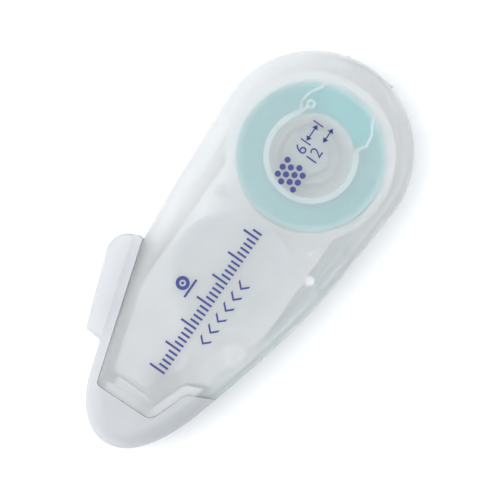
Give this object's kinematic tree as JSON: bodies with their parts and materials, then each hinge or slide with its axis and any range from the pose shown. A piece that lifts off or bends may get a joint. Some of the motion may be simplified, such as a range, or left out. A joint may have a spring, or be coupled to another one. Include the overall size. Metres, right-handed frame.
{
  "type": "correction tape roller",
  "caption": "Teardrop tape roller: milky two-part case, pull-off nose cap with thumb tab, teal tape reel, take-up reel, slip clutch and transfer roller.",
  "frame": {"origin": "on the supply reel's axis, in the plane of the plain rear face that the roller lies on", "axes": "+X along the body to the round tail, -X to the nose, +Y to the thumb tab, +Z out of the printed face"},
  "size_m": [0.0847, 0.0397, 0.015],
  "materials": {
    "milky_case": "milky see-through polypropylene, satin outside",
    "milky_cap": "milky see-through polypropylene, satin outside",
    "cartridge_frame": "natural white moulded plastic",
    "clear_cover": "clear moulded plastic",
    "head_plastic": "natural moulded plastic",
    "gear_plastic": "white moulded plastic",
    "hub_plastic": "pale grey moulded plastic",
    "roller_plastic": "smooth moulded plastic",
    "clutch_rubber": "matt rubber",
    "axle_steel": "polished pin",
    "teal_tape": "teal adhesive tape wound edge to edge",
    "navy_ink": "thin pad-printed ink on the front shell",
    "liner": "thin pale release liner"
  },
  "bodies": {
    "case": {"rear_shell": "milky_case", "cartridge_base": "cartridge_frame", "cartridge_cover": "cartridge_frame", "reel_window": "clear_cover", "reel_retainer": "cartridge_frame", "head_frame": "head_plastic", "roller_axle": "axle_steel", "tape_feed_span": "teal_tape", "tape_return_span": "liner", "reel_clip": "cartridge_frame", "takeup_clip": "cartridge_frame"},
    "front_cover": {"front_shell": "milky_case"},
    "cap": {"nose_cap": "milky_cap"},
    "drive_gear": {"supply_gear": "gear_plastic"},
    "supply_reel": {"supply_hub": "hub_plastic", "tape_roll": "teal_tape", "clutch_ring": "clutch_rubber"},
    "takeup": {"takeup_reel": "gear_plastic", "takeup_flange": "clear_cover", "used_liner": "liner"},
    "tip_roller": {"transfer_roller": "roller_plastic"},
    "feed_guide": {"guide_roller_feed": "roller_plastic"},
    "return_guide": {"guide_roller_return": "roller_plastic"}
  },
  "joints": [
    {"name": "front_cover_hinge", "type": "hinge", "parent": "case", "child": "front_cover", "pos_m": [0.0185, 0, 0.0075], "axis": [0, 1, 0], "range_deg": [0, 95]},
    {"name": "cap_slide", "type": "slide", "parent": "case", "child": "cap", "axis": [-0.9545, -0.2983, 0], "range_m": [0, 0.038]},
    {"name": "drive_gear_spin", "type": "hinge", "parent": "case", "child": "drive_gear", "pos_m": [0, 0, 0], "axis": [0, 0, 1], "continuous": true},
    {"name": "clutch_slip", "type": "hinge", "parent": "drive_gear", "child": "supply_reel", "pos_m": [0, 0, 0], "axis": [0, 0, 1], "continuous": true},
    {"name": "takeup_spin", "type": "hinge", "parent": "case", "child": "takeup", "pos_m": [-0.02625, 0, 0], "axis": [0, 0, 1], "continuous": true},
    {"name": "tip_roller_spin", "type": "hinge", "parent": "case", "child": "tip_roller", "pos_m": [-0.0614, -0.001, 0], "axis": [0, 0, 1], "continuous": true},
    {"name": "feed_guide_spin", "type": "hinge", "parent": "case", "child": "feed_guide", "pos_m": [-0.0382, -0.0095, 0], "axis": [0, 0, 1], "continuous": true},
    {"name": "return_guide_spin", "type": "hinge", "parent": "case", "child": "return_guide", "pos_m": [-0.0452, -0.0016, 0], "axis": [0, 0, 1], "continuous": true}
  ],
  "couplings": [
    {"joint": "takeup_spin", "follows": "drive_gear_spin", "ratio": -1.3864},
    {"joint": "tip_roller_spin", "follows": "drive_gear_spin", "ratio": 8.6625},
    {"joint": "feed_guide_spin", "follows": "drive_gear_spin", "ratio": 6.6},
    {"joint": "return_guide_spin", "follows": "drive_gear_spin", "ratio": 8.6625}
  ]
}
